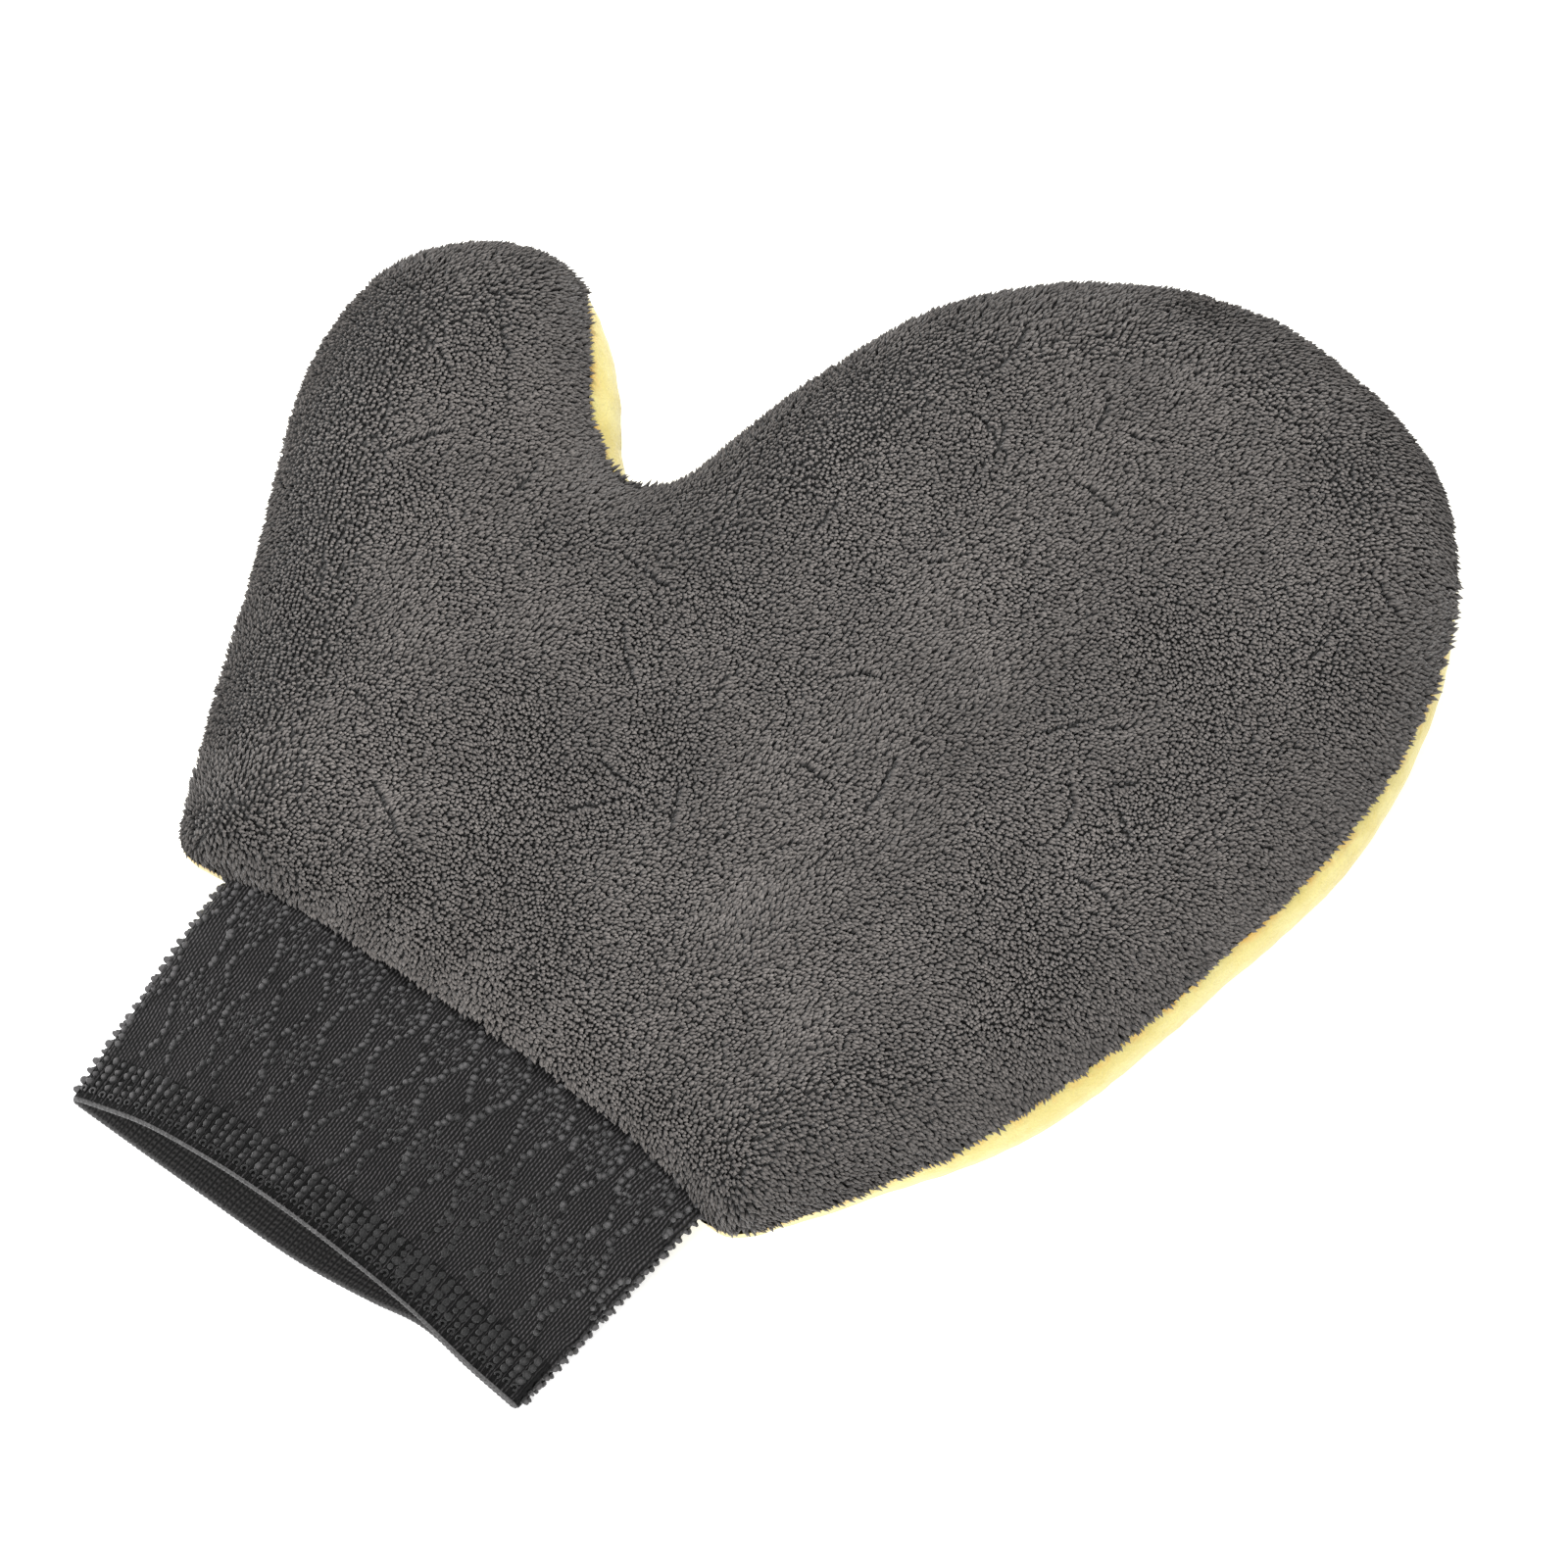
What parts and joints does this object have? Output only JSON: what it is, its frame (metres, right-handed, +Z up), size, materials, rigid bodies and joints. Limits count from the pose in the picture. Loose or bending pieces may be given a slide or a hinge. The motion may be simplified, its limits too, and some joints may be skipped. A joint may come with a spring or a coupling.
{
  "type": "wash mitt",
  "caption": "Plush wash mitt with a rounded hand pocket, a separate thumb pocket, a contrasting back panel and a knitted elastic cuff.",
  "frame": {"origin": "middle of the underside of the whole mitt as it lies flat on its yellow back panel", "axes": "+Y from the cuff mouth to the fingertips, +X across the hand away from the thumb, +Z up out of the grey face panel"},
  "size_m": [0.226, 0.269, 0.034],
  "materials": {
    "grey_plush": "short dense plush pile, dark grey, brushed in patches",
    "yellow_plush": "short smooth microfibre pile, pale yellow",
    "lining_cloth": "thin brushed knit lining",
    "seam_thread": "overlocked sewing thread",
    "cuff_knit": "charcoal elastic knit with raised dots",
    "elastic_thread": "covered elastic thread"
  },
  "bodies": {
    "palm": {"face_palm": "grey_plush", "back_palm": "yellow_plush", "face_lining_palm": "lining_cloth", "back_lining_palm": "lining_cloth", "edge_seam_palm": "seam_thread", "cuff_seam": "seam_thread"},
    "fingers": {"face_fingers": "grey_plush", "back_fingers": "yellow_plush", "face_lining_fingers": "lining_cloth", "back_lining_fingers": "lining_cloth", "edge_seam_fingers": "seam_thread"},
    "thumb": {"face_thumb": "grey_plush", "back_thumb": "yellow_plush", "face_lining_thumb": "lining_cloth", "back_lining_thumb": "lining_cloth", "edge_seam_thumb": "seam_thread"},
    "cuff": {"rib_cuff": "cuff_knit", "hem_elastic": "elastic_thread"}
  },
  "joints": [
    {"name": "knuckle_fold", "type": "hinge", "parent": "palm", "child": "fingers", "pos_m": [0.035, 0.0335, 0.017], "axis": [0.9781, -0.2079, 0], "range_deg": [0, 60]},
    {"name": "thumb_fold", "type": "hinge", "parent": "palm", "child": "thumb", "pos_m": [-0.05339, 0.03796, 0.017], "axis": [0.788, 0.6157, 0], "range_deg": [0, 45]},
    {"name": "cuff_fold", "type": "hinge", "parent": "palm", "child": "cuff", "pos_m": [0.0005, -0.0855, 0.017], "axis": [-1, 0, 0], "range_deg": [0, 60]}
  ]
}
